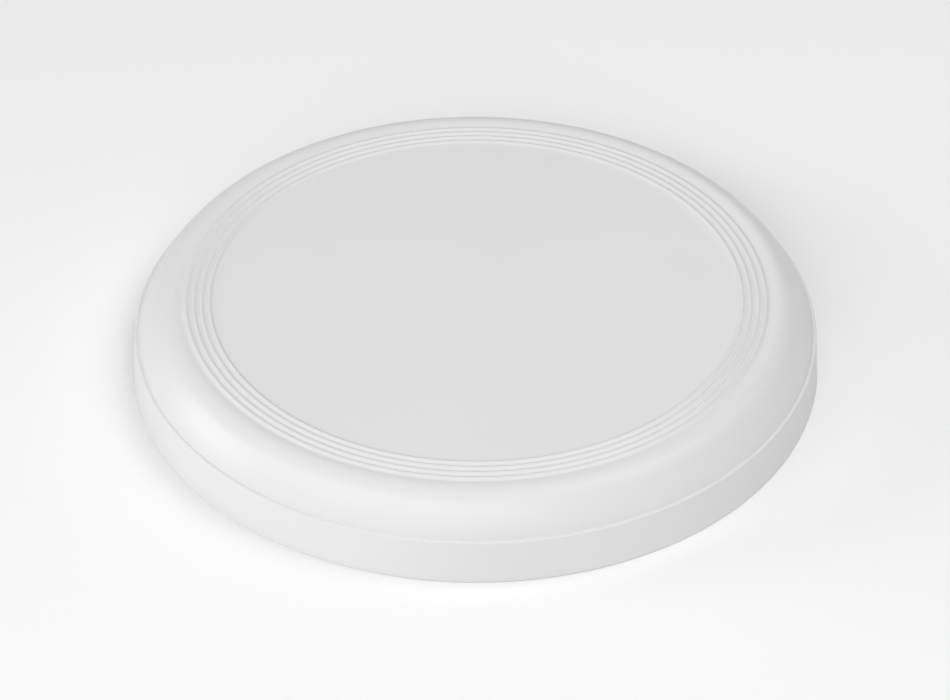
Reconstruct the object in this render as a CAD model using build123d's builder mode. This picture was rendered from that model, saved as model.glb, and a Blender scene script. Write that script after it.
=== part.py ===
from build123d import *
import os
from math import radians, sin, tan

# Flying disc: one hollow moulding, spun from a single outline about the vertical axis.
# The frame stands at the centre of the rim's flat base, with +Z up. Sizes are in millimetres.

# Overall size
rim_radius = 111.0  # outside of the rim band at its foot
plate_height = 26.6  # top of the flat centre plate above the base

# Walls
wall = 1.9  # plate and shoulder
rim_thickness = 3.1  # rim band at its foot

# Raised rings round the plate
ring_count = 4
ring_pitch = 2.5
first_ring_radius = 85.7  # circle of the first ring's crown
ring_flank_angle = 45.0  # steepest slope of a ring's side

# Shoulder: a short rise out of the last ring, a crown, and a straighter flank down to the step
rise_root_radius = 1.8
rise_angle = 12.0
rise_length = 1.0
crown_radius = 7.8
crown_end_angle = 47.0  # slope where the crown passes into the flank
flank_radius = 27.0
flank_end_angle = 71.0  # slope where the flank meets the step

# Rim band
band_draft = 3.8  # lean of the outside wall, wider at its foot
inside_draft = 2.1  # lean of the inside wall, wider at its foot
step_rise = 0.15  # the step's edge stands this much above its inner corner
step_root_round = 0.3  # hollow corner where the flank meets the step
step_round = 0.4  # outer edge of the step
foot_round = 0.6  # both edges of the base
inside_turn_radius = 6.0  # from the shoulder's underside into the inside wall

# Marks that the mould leaves on the underside
gate_well_radius = 6.0
gate_well_depth = 0.3
gate_pip_radius = 1.1
gate_pip_height = 0.5
ejector_count = 6
ejector_circle_radius = 72.0
ejector_mark_radius = 4.0
ejector_mark_depth = 0.15

tolerance = 0.01  # for finding an edge by its place

# Worked out from the sizes above
underside_height = plate_height - wall
ring_arc_radius = ring_pitch / 4 / sin(radians(ring_flank_angle))
rings_start_radius = first_ring_radius - ring_pitch / 2
rings_end_radius = rings_start_radius + ring_count * ring_pitch
inside_foot_radius = rim_radius - rim_thickness


def turn(before, radius, angle):
    """Arc that leaves the end of another line without a corner; a positive angle turns it upwards."""
    return JernArc(before @ 1, before % 1, radius, angle)


def ring(before):
    """One raised ring: a hollow arc, a crown and a second hollow arc, all of one radius."""
    foot = turn(before, ring_arc_radius, ring_flank_angle)
    crown = turn(foot, ring_arc_radius, -2 * ring_flank_angle)
    return turn(crown, ring_arc_radius, ring_flank_angle)


def shoulder(before, inset):
    """Rise, crown and flank; the underside follows the same centres, one wall thickness further in."""
    root = turn(before, rise_root_radius + inset, rise_angle)
    rise = Line(root @ 1, root @ 1 + rise_length * (root % 1))
    crown = turn(rise, crown_radius - inset, -rise_angle - crown_end_angle)
    return turn(crown, flank_radius - inset, crown_end_angle - flank_end_angle)


def band_radius(height):
    """Outside radius of the rim band at a height above the base."""
    return rim_radius - height * tan(radians(band_draft))


def is_at(edge, radius, height):
    """Whether a round edge lies at a radius and a height."""
    return abs(edge.radius - radius) < tolerance and abs(edge.center().Z - height) < tolerance


with BuildPart() as disc:
    with BuildSketch(Plane.XZ):
        with BuildLine():
            # Top: plate, rings and shoulder, from the axis outwards
            top = Line((0, plate_height), (rings_start_radius, plate_height))
            outline = top
            for _ in range(ring_count):
                outline = ring(outline)
            flank = shoulder(outline, 0)
            # Step, outside wall and flat base
            step_foot = flank @ 1
            edge_height = step_foot.Y + step_rise
            step = Line(step_foot, (band_radius(edge_height), edge_height))
            band = Line(step @ 1, (rim_radius, 0))
            base = Line(band @ 1, (inside_foot_radius, 0))
            # Underside, from the axis outwards, and the inside wall that closes it
            bottom = Line((0, underside_height), (rings_end_radius, underside_height))
            inside_flank = shoulder(bottom, wall)
            inside_turn = turn(inside_flank, inside_turn_radius, flank_end_angle - 90 + inside_draft)
            inside_wall = Line(inside_turn @ 1, base @ 1)
            Line(top @ 0, bottom @ 0)
        make_face()
    revolve(axis=Axis.Z)
    # Step and foot edges are eased
    edges = disc.edges().filter_by(GeomType.CIRCLE)
    fillet(edges.filter_by(lambda edge: is_at(edge, step_foot.X, step_foot.Y)), step_root_round)
    fillet(edges.filter_by(lambda edge: is_at(edge, band_radius(edge_height), edge_height)), step_round)
    fillet(edges.filter_by(lambda edge: is_at(edge, rim_radius, 0)), foot_round)
    fillet(edges.filter_by(lambda edge: is_at(edge, inside_foot_radius, 0)), foot_round)
    # Gate well with its pip, at the centre of the underside
    with BuildSketch(Plane.XY.offset(underside_height)):
        Circle(gate_well_radius)
    extrude(amount=gate_well_depth, mode=Mode.SUBTRACT)
    with BuildSketch(Plane.XY.offset(underside_height + gate_well_depth)):
        Circle(gate_pip_radius)
    extrude(amount=-gate_pip_height)
    # Ejector pin marks
    with BuildSketch(Plane.XY.offset(underside_height)):
        with PolarLocations(ejector_circle_radius, ejector_count):
            Circle(ejector_mark_radius)
    extrude(amount=ejector_mark_depth, mode=Mode.SUBTRACT)

disc.part.label = "disc"
os.makedirs("parts", exist_ok=True)
export_step(disc.part, "parts/disc.step")
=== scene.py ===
# %% [markdown]
# # A flying disc
# The real disc is one plastic moulding: a flat plate, four raised rings round it, a crowned shoulder,
# a small step and a rim band, all hollow underneath. Nothing is fastened to it and nothing moves.
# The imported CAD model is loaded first, because it is the fixed frame that the finished disc has to fit.

# %% Load the frame
from math import cos, pi, radians, sin, tan

import bmesh
import bpy
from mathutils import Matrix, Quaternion, Vector


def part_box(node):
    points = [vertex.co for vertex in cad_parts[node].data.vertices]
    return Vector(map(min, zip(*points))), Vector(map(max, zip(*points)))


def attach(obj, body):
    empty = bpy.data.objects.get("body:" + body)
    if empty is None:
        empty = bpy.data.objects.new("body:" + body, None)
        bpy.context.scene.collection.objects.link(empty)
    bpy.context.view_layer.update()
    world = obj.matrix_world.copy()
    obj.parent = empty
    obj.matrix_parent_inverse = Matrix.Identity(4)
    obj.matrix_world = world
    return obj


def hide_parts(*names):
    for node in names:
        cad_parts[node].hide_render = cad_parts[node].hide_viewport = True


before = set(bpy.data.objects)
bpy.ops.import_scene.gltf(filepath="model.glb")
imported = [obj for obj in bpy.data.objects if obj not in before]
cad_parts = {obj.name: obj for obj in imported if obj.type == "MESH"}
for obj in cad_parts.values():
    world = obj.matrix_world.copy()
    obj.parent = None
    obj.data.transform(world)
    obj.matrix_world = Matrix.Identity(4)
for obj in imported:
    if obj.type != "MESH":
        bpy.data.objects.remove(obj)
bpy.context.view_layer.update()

MM = 0.001
disc_low, disc_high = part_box("disc")
print("CAD disc, mm:", [round(side / MM, 2) for side in disc_high - disc_low])

# %% [markdown]
# ## The disc's sizes
# The mould that makes this disc was cut on a lathe, so a handful of radii, heights and angles describe
# it all. They could be read off the loaded CAD mesh, but stated by name they say what each one is for.
# They are the CAD part's own sizes, in metres, because that is Blender's unit.

# %% Sizes
rim_radius = 111.0 * MM  # outside of the band at its foot
plate_height = 26.6 * MM  # top of the flat centre plate
wall = 1.9 * MM  # plate and shoulder
rim_thickness = 3.1 * MM  # rim band at its foot

ring_count = 4
ring_pitch = 2.5 * MM
ring_height = 0.52 * MM
rings_start = 85.7 * MM - ring_pitch / 2
rings_end = rings_start + ring_count * ring_pitch

rise_root_radius = 1.8 * MM
rise_angle = radians(12.0)
rise_length = 1.0 * MM
crown_radius = 7.8 * MM
crown_end_angle = radians(47.0)
flank_radius = 27.0 * MM
flank_end_angle = radians(71.0)

band_draft = radians(3.8)
inside_draft = radians(2.1)
inside_turn_radius = 6.0 * MM
step_rise = 0.15 * MM  # the step's edge stands this much above its inner corner
step_root_round = 0.3 * MM  # hollow corner where the flank meets the step
step_round = 0.4 * MM  # outer edge of the step
foot_round = 0.6 * MM  # both edges of the base

gate_well_radius = 6.0 * MM
gate_well_depth = 0.3 * MM
gate_pip_radius = 1.1 * MM
gate_pip_height = 0.5 * MM

pin_count = 6  # ejector pins of the mould
pin_circle_radius = 72.0 * MM
pin_radius = 4.0 * MM
pin_depth = 0.15 * MM

# How finely the mesh follows the curves
columns = 360  # round the axis
ring_steps = 16  # along one ring's section
pin_sides = 48

# %% [markdown]
# ## A pen for the outline
# A turned shape is drawn as straight runs and arcs that pass into each other without a corner. Placing
# each point by hand would leave small kinks, and kinks show as lines on satin plastic. A pen that knows
# its own heading can't make one: it only goes forward or turns.

# %% A pen that draws runs and arcs
class Pen:
    """Draws points of (radius, height); a positive turn is upwards when the pen goes outwards."""

    def __init__(self, radius, height, heading=0.0):
        self.points = [(radius, height)]
        self.heading = heading

    def forward(self, length, steps=1):
        radius, height = self.points[-1]
        for step in range(1, steps + 1):
            run = length * step / steps
            self.points.append((radius + run * cos(self.heading), height + run * sin(self.heading)))

    def turn(self, arc_radius, angle, steps):
        radius, height = self.points[-1]
        side = 1 if angle > 0 else -1
        start = self.heading
        for step in range(1, steps + 1):
            now = start + angle * step / steps
            self.points.append((
                radius + side * arc_radius * (sin(now) - sin(start)),
                height - side * arc_radius * (cos(now) - cos(start)),
            ))
        self.heading = start + angle


def draw_shoulder(pen, inset):
    """Rise, crown and flank; the underside has the same centres, one wall thickness further in."""
    pen.turn(rise_root_radius + inset, rise_angle, 6)
    pen.forward(rise_length, 3)
    pen.turn(crown_radius - inset, -rise_angle - crown_end_angle, 28)
    pen.turn(flank_radius - inset, crown_end_angle - flank_end_angle, 16)


def rounded(before, corner, after, radius, steps):
    """Points of an arc that eases the corner between two straight sides."""
    corner = Vector(corner)
    back, ahead = (Vector(before) - corner).normalized(), (Vector(after) - corner).normalized()
    half_angle = back.angle(ahead) / 2
    centre = corner + (back + ahead).normalized() * radius / sin(half_angle)
    start = (corner + back * radius / tan(half_angle) - centre).normalized()
    end = (corner + ahead * radius / tan(half_angle) - centre).normalized()
    return [tuple(centre + radius * start.slerp(end, step / steps)) for step in range(steps + 1)]


# %% [markdown]
# ## The outline of the disc
# From the centre outwards: the flat plate, the ring zone, the small rise, the crown, the long flank, the
# step, the rim band and its flat base, then back along the underside. The wall is even, as moulded
# plastic has to be, so the underside copies the shoulder with arcs smaller by the wall. The rings are
# left flat here, because they repeat, and a rule adds them later.

# %% Draw the outline, from the top centre round to the underside's centre
def band_radius(height):
    return rim_radius - height * tan(band_draft)


plate_middle = 60.0 * MM  # inside this radius the plate's points stand further apart

top = Pen(0.0, plate_height)
top.forward(plate_middle, 12)
top.forward(rings_start - plate_middle, 10)
top.forward(rings_end - rings_start, ring_count * ring_steps)
draw_shoulder(top, 0.0)
step_foot = top.points[-1]

step_edge_height = step_foot[1] + step_rise
step_edge = (band_radius(step_edge_height), step_edge_height)
foot_outside = (rim_radius, 0.0)
foot_inside = (rim_radius - rim_thickness, 0.0)

underside_height = plate_height - wall
well_height = underside_height + gate_well_depth
underside = Pen(0.0, well_height - gate_pip_height)
underside.forward(gate_pip_radius, 2)
underside.points.append((gate_pip_radius, well_height))
underside.points.append((gate_well_radius, well_height))
underside.points.append((gate_well_radius, underside_height))
underside.forward(rings_end - gate_well_radius, 24)
draw_shoulder(underside, wall)
underside.turn(inside_turn_radius, flank_end_angle - pi / 2 + inside_draft, 8)
wall_top = underside.points[-1]

outline = (
    top.points[:-1]
    + rounded(top.points[-2], step_foot, step_edge, step_root_round, 5)
    + rounded(step_foot, step_edge, foot_outside, step_round, 8)
    + rounded(step_edge, foot_outside, foot_inside, foot_round, 8)
    + rounded(foot_outside, foot_inside, wall_top, foot_round, 8)
    + underside.points[::-1]
)
print("outline points:", len(outline))

# %% [markdown]
# ## A node tree that makes the disc
# The disc follows three rules: the rings repeat at an even pitch, every point of the outline goes round
# the axis, and the ejector pins stand at even angles. A Screw modifier could only do the second, so a
# Geometry Nodes tree does all three. The sizes are its named inputs, so another disc is only other
# numbers. The tree reads the outline as a mesh that is nothing but a line of points.

# %% The outline as a line of points
outline_mesh = bpy.data.meshes.new("outline")
outline_mesh.from_pydata([(radius, 0.0, height) for radius, height in outline], [], [])
outline_object = bpy.data.objects.new("outline", outline_mesh)
bpy.context.scene.collection.objects.link(outline_object)

# %% Helpers for a node tree
tree = bpy.data.node_groups.new("spin_disc", "GeometryNodeTree")
tree.interface.new_socket("Geometry", in_out="OUTPUT", socket_type="NodeSocketGeometry")
tree.interface.new_socket("Outline", in_out="INPUT", socket_type="NodeSocketGeometry")


def named_input(name, kind, value):
    """A named size of the tree; the default is this disc's own."""
    socket = tree.interface.new_socket(name, in_out="INPUT", socket_type="NodeSocket" + kind)
    if value is not None:
        socket.default_value = value
    return socket.identifier


def add(kind, *wires, **settings):
    """A node with its settings, and its inputs wired or set in order; None leaves one alone."""
    node = tree.nodes.new(kind)
    for name, value in settings.items():
        setattr(node, name, value)
    sockets = [socket for socket in node.inputs if socket.enabled and not socket.hide]
    for socket, wire in zip(sockets, wires):
        if isinstance(wire, bpy.types.NodeSocket):
            tree.links.new(wire, socket)
        elif wire is not None:
            socket.default_value = wire
    return node


def math_node(operation, *wires):
    return add("ShaderNodeMath", *wires, operation=operation).outputs[0]


# %% The tree's named inputs
sizes = {
    "Columns": ("Int", columns),
    "Ring count": ("Int", ring_count),
    "Ring pitch": ("Float", ring_pitch),
    "Ring height": ("Float", ring_height),
    "Rings start": ("Float", rings_start),
    "Top above": ("Float", plate_height - wall / 2),
    "Pin count": ("Int", pin_count),
    "Pin circle radius": ("Float", pin_circle_radius),
    "Pin radius": ("Float", pin_radius),
    "Pin depth": ("Float", pin_depth),
    "Pin face": ("Float", underside_height),
}
input_id = {name: named_input(name, kind, value) for name, (kind, value) in sizes.items()}
input_id["Plastic"] = named_input("Plastic", "Material", None)
given = tree.nodes.new("NodeGroupInput").outputs

# %% [markdown]
# ## The four raised rings
# On the real disc they stiffen the plate and trip the air as it flies. They could be four swept
# half-rounds, but they run into each other without a flat between them, like waves. So the height of the
# top face follows a squared sine between two radii: it starts and ends level, and makes no corner.

# %% Rings: waves on the top face, between two radii
position = add("GeometryNodeInputPosition").outputs[0]
place = add("ShaderNodeSeparateXYZ", position).outputs
from_start = math_node("SUBTRACT", place[0], given["Rings start"])
waves = math_node("DIVIDE", from_start, given["Ring pitch"])
bump = math_node("POWER", math_node("SINE", math_node("MULTIPLY", waves, pi)), 2.0)
inside_start = math_node("GREATER_THAN", waves, 0.0)
inside_end = math_node("LESS_THAN", waves, given["Ring count"])
on_top = math_node("GREATER_THAN", place[2], given["Top above"])
in_zone = math_node("MULTIPLY", math_node("MULTIPLY", inside_start, inside_end), on_top)
lift = math_node("MULTIPLY", math_node("MULTIPLY", bump, given["Ring height"]), in_zone)
lift_vector = add("ShaderNodeCombineXYZ", 0.0, 0.0, lift).outputs[0]
ringed = add("GeometryNodeSetPosition", given["Outline"], None, None, lift_vector).outputs[0]

# %% [markdown]
# ## One turn round the axis
# A lathe turns the part past the tool; here each column of a flat grid takes the outline's points and is
# turned a little further than the last. The last column lands on the first, and all the points on the
# axis land on one, so a merge by distance closes the seam and both poles.

# %% Spin: a grid whose every column is the outline
merge_distance = 0.0005 * MM
point_count = add("GeometryNodeAttributeDomainSize", ringed, component="MESH").outputs[0]
grid_columns = math_node("ADD", given["Columns"], 1)
rows = add("GeometryNodeMeshGrid", 1.0, 1.0, grid_columns, point_count).outputs[0]
index = add("GeometryNodeInputIndex").outputs[0]
column = math_node("FLOOR", math_node("DIVIDE", math_node("ADD", index, 0.5), point_count))
row = math_node("SUBTRACT", index, math_node("MULTIPLY", column, point_count))
here = add("GeometryNodeSampleIndex", ringed, position, row, data_type="FLOAT_VECTOR").outputs[0]
angle = math_node("DIVIDE", math_node("MULTIPLY", column, 2 * pi), given["Columns"])
turned = add(
    "ShaderNodeVectorRotate", here, None, (0.0, 0.0, 1.0), angle, rotation_type="AXIS_ANGLE"
).outputs[0]
rolled = add("GeometryNodeSetPosition", rows, None, turned, None).outputs[0]
spun = add("GeometryNodeMergeByDistance", rolled, None, merge_distance).outputs[0]

# %% [markdown]
# ## Ejector pin marks
# Six pins push the warm disc off the mould, and each leaves a shallow round sink on the underside. A
# circle of points carries one short cylinder each, and a mesh boolean takes them out of the plastic,
# which gives the marks the crisp edge that a steel pin leaves.

# %% Ejector pin marks, cut out of the underside
pin_angle = math_node("DIVIDE", math_node("MULTIPLY", index, 2 * pi), given["Pin count"])
pin_place = add(
    "ShaderNodeCombineXYZ",
    math_node("MULTIPLY", math_node("COSINE", pin_angle), given["Pin circle radius"]),
    math_node("MULTIPLY", math_node("SINE", pin_angle), given["Pin circle radius"]),
    given["Pin face"],
).outputs[0]
pin_points = add("GeometryNodePoints", given["Pin count"], pin_place).outputs[0]
pin_height = math_node("MULTIPLY", given["Pin depth"], 2.0)  # half of it stands in the plastic
pin_body = add("GeometryNodeMeshCylinder", pin_sides, 1, 1, given["Pin radius"], pin_height).outputs[0]
pins = add("GeometryNodeInstanceOnPoints", pin_points, None, pin_body).outputs[0]
pins = add("GeometryNodeRealizeInstances", pins).outputs[0]
cut = add("GeometryNodeMeshBoolean", spun, pins, operation="DIFFERENCE", solver="EXACT").outputs[0]

# %% End of the tree: smooth faces, material, no instances left
smooth = add("GeometryNodeSetShadeSmooth", cut, None, True).outputs[0]
finished = add("GeometryNodeSetMaterial", smooth, None, given["Plastic"]).outputs[0]
finished = add("GeometryNodeRealizeInstances", finished).outputs[0]
tree.links.new(finished, add("NodeGroupOutput").inputs[0])
print("nodes in the tree:", len(tree.nodes))

# %% [markdown]
# ## White moulded plastic
# The real surface is satin polypropylene: an even white with a fine spark-eroded grain that softens
# every highlight. Flow in the mould leaves very faint duller patches, handling leaves hair-fine scuffs,
# and the raw material carries a few pale grey specks. All of it is far below the size of the disc, so
# it is made from noise on Object coordinates and not from geometry.

# %% Helpers for the plastic
plastic = bpy.data.materials.new("satin_white_plastic")
plastic.use_nodes = True
nodes, links = plastic.node_tree.nodes, plastic.node_tree.links
shader = nodes["Principled BSDF"]
object_place = nodes.new("ShaderNodeTexCoord").outputs["Object"]


def noise(scale, detail=2.0, stretch=(1.0, 1.0, 1.0)):
    """Soft noise on the disc's own coordinates; the scale is in repeats per metre."""
    mapping = nodes.new("ShaderNodeMapping")
    mapping.inputs["Scale"].default_value = stretch
    links.new(object_place, mapping.inputs["Vector"])
    texture = nodes.new("ShaderNodeTexNoise")
    texture.inputs["Scale"].default_value = scale
    texture.inputs["Detail"].default_value = detail
    links.new(mapping.outputs["Vector"], texture.inputs["Vector"])
    return texture.outputs["Fac"]


def remap(wire, low, high, new_low, new_high):
    """Turns the part of a value between low and high into a new range, and holds it beyond."""
    node = nodes.new("ShaderNodeMapRange")
    for name, value in (("From Min", low), ("From Max", high), ("To Min", new_low), ("To Max", new_high)):
        node.inputs[name].default_value = value
    links.new(wire, node.inputs["Value"])
    return node.outputs["Result"]


def blend(factor, first, second):
    """Mixes two colours, each a wire or a plain colour."""
    node = nodes.new("ShaderNodeMix")
    node.data_type = "RGBA"
    links.new(factor, node.inputs["Factor"])
    for socket, colour in ((node.inputs[6], first), (node.inputs[7], second)):
        if isinstance(colour, bpy.types.NodeSocket):
            links.new(colour, socket)
        else:
            socket.default_value = colour
    return node.outputs[2]


# %% Colour: one white, faint flow patches and a few pale specks
white = (0.745, 0.744, 0.7435, 1.0)
flow_white = (0.733, 0.732, 0.7315, 1.0)
speck_grey = (0.5, 0.495, 0.485, 1.0)

flow = remap(noise(16.0, detail=3.0), 0.35, 0.65, 0.0, 1.0)
speck_cells = nodes.new("ShaderNodeTexVoronoi")
speck_cells.inputs["Scale"].default_value = 170.0
links.new(object_place, speck_cells.inputs["Vector"])
speck_size = remap(speck_cells.outputs["Distance"], 0.02, 0.05, 1.0, 0.0)
speck_split = nodes.new("ShaderNodeSeparateColor")
links.new(speck_cells.outputs["Color"], speck_split.inputs["Color"])
speck_chance = remap(speck_split.outputs["Red"], 0.93, 0.95, 0.0, 0.4)
speck = nodes.new("ShaderNodeMath")
speck.operation = "MULTIPLY"
links.new(speck_size, speck.inputs[0])
links.new(speck_chance, speck.inputs[1])
links.new(blend(speck.outputs[0], blend(flow, white, flow_white), speck_grey), shader.inputs["Base Color"])

# %% Sheen and grain: duller patches, hair-fine scuffs and spark-eroded texture
patches = remap(noise(9.0, detail=4.0), 0.3, 0.7, 0.39, 0.44)
scuffs = remap(noise(60.0, detail=2.0, stretch=(1.0, 14.0, 1.0)), 0.68, 0.72, 0.0, 0.05)
dullness = nodes.new("ShaderNodeMath")
links.new(patches, dullness.inputs[0])
links.new(scuffs, dullness.inputs[1])
links.new(dullness.outputs[0], shader.inputs["Roughness"])
shader.inputs["IOR"].default_value = 1.49

grain = nodes.new("ShaderNodeBump")
grain.inputs["Strength"].default_value = 0.18
grain.inputs["Distance"].default_value = 0.01 * MM
links.new(noise(3000.0, detail=1.0), grain.inputs["Height"])
links.new(grain.outputs["Normal"], shader.inputs["Normal"])
print("nodes in the plastic:", len(nodes))

# %% [markdown]
# ## From the tree to a plain mesh
# A modifier would be computed again at every change, and other programs can't read it. The tree is run
# once with its inputs set, and the result is kept as a plain mesh. Faces are smooth, and only the edges
# that are sharp in the mould, at the gate and the pin marks, are marked as such.

# %% Run the tree and keep the result
spin = outline_object.modifiers.new("spin", "NODES")
spin.node_group = tree
for name, (kind, value) in sizes.items():
    spin[input_id[name]] = value
spin[input_id["Plastic"]] = plastic
evaluated = outline_object.evaluated_get(bpy.context.evaluated_depsgraph_get())
disc_mesh = bpy.data.meshes.new_from_object(evaluated)
outline_object.modifiers.remove(spin)
bpy.data.objects.remove(outline_object)
disc_mesh.name = "flying_disc"
sharp_angle = radians(35.0)
disc_mesh.set_sharp_from_angle(angle=sharp_angle)
flying_disc = bpy.data.objects.new("flying_disc", disc_mesh)
bpy.context.scene.collection.objects.link(flying_disc)

# %% [markdown]
# ## Measure it and put it in the frame
# A moulding has no holes in its skin, so a good mesh has no open edges, and its signed volume is
# positive when all faces look outwards. The volume should be the CAD solid's, near 107.7 cm3.

# %% Measure the disc
measured = bmesh.new()
measured.from_mesh(disc_mesh)
open_edges = sum(not edge.is_manifold for edge in measured.edges)
triangles = sum(len(face.verts) - 2 for face in measured.faces)
print("disc:", len(measured.faces), "faces,", triangles, "triangles,", open_edges, "open edges")
print("volume, cm3:", round(measured.calc_volume(signed=True) * 1e6, 2))
measured.free()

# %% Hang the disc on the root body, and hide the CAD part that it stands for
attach(flying_disc, "root")
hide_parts("disc")

# %% [markdown]
# ## Floor
# A sheet of matt white paper, wide enough that its edge is never seen. It also throws light back onto the
# rim band, as a real table would, so it is a real surface and not a blank background.

# %% Floor
floor_mesh = bpy.data.meshes.new("floor")
floor_reach = 4.0
floor_mesh.from_pydata(
    [(-floor_reach, -floor_reach, 0), (floor_reach, -floor_reach, 0),
     (floor_reach, floor_reach, 0), (-floor_reach, floor_reach, 0)], [], [(0, 1, 2, 3)])
floor = bpy.data.objects.new("floor", floor_mesh)
bpy.context.scene.collection.objects.link(floor)
paper = bpy.data.materials.new("pale_paper")
paper.use_nodes = True
paper.node_tree.nodes["Principled BSDF"].inputs["Base Color"].default_value = (0.92, 0.92, 0.92, 1.0)
paper.node_tree.nodes["Principled BSDF"].inputs["Roughness"].default_value = 0.9
floor_mesh.materials.append(paper)

# %% [markdown]
# ## Camera
# A small object is shown with a long lens from far away, so that its far side isn't drawn much smaller
# than its near side. The camera stands in front, a little under forty degrees above the floor.

# %% Camera
camera_elevation = radians(36.97)
camera_distance = 1.351  # from the middle of the plate
camera_lens = 159.16
camera_roll = radians(0.18)
aim = Vector((-0.2 * MM, 0.0, 3.9 * MM))

camera_data = bpy.data.cameras.new("camera")
camera_data.lens = camera_lens
camera_data.sensor_width = 36.0
camera_data.clip_end = 20.0
camera = bpy.data.objects.new("camera", camera_data)
bpy.context.scene.collection.objects.link(camera)
plate_centre = Vector((0.0, 0.0, plate_height))
camera_direction = Vector((0.0, -cos(camera_elevation), sin(camera_elevation)))
camera.location = plate_centre + camera_distance * camera_direction
camera.rotation_mode = "QUATERNION"
towards_aim = (aim - camera.location).to_track_quat("-Z", "Y")
camera.rotation_quaternion = towards_aim @ Quaternion((0.0, 0.0, 1.0), camera_roll)
bpy.context.scene.camera = camera

# %% [markdown]
# ## Soft light
# White satin plastic shows its shape only through slow changes of tone, so the light has to be soft and
# stronger from some sides. One large box would flatten it. Five square softboxes, each with one job, give
# a bright left and front, an even plate and a shaded right rim.

# %% Lamps
lamp_distance = 1.4  # from the middle of the disc's base


def soft_lamp(name, azimuth, elevation, size, power):
    """A square softbox that faces the disc; azimuth 0 is the camera's side, and 90 is the right. Size is in
    metres and power in watts."""
    lamp = bpy.data.lights.new(name, "AREA")
    lamp.size = size
    lamp.energy = power
    lamp_object = bpy.data.objects.new(name, lamp)
    bpy.context.scene.collection.objects.link(lamp_object)
    direction = Vector((sin(azimuth) * cos(elevation), -cos(azimuth) * cos(elevation), sin(elevation)))
    lamp_object.location = direction * lamp_distance
    lamp_object.rotation_mode = "QUATERNION"
    lamp_object.rotation_quaternion = direction.to_track_quat("Z", "Y")


# Evens out the plate
soft_lamp("overhead_lamp", azimuth=radians(90), elevation=radians(65), size=1.0, power=8.5)
# Lights the front of the shoulder and the band
soft_lamp("front_lamp", azimuth=radians(0), elevation=radians(35), size=0.8, power=7.0)
# Makes the left side the bright one
soft_lamp("front_left_lamp", azimuth=radians(-45), elevation=radians(35), size=0.8, power=4.0)
# Low, so that it reaches the left band
soft_lamp("left_lamp", azimuth=radians(-90), elevation=radians(15), size=0.6, power=6.0)
# Keeps the far rings readable
soft_lamp("back_lamp", azimuth=radians(180), elevation=radians(40), size=0.8, power=2.0)

# %% [markdown]
# ## Soft light from all round
# In a white room some light comes from everywhere. A weak even world stands for it and keeps the dark
# side of each ring from going black. The view transform is the plain one, so white stays white.

# %% World and view
room_light = 0.2
world = bpy.data.worlds.new("world")
world.use_nodes = True
world.node_tree.nodes["Background"].inputs["Color"].default_value = (1.0, 1.0, 1.0, 1.0)
world.node_tree.nodes["Background"].inputs["Strength"].default_value = room_light
bpy.context.scene.world = world
bpy.context.scene.view_settings.view_transform = "Standard"
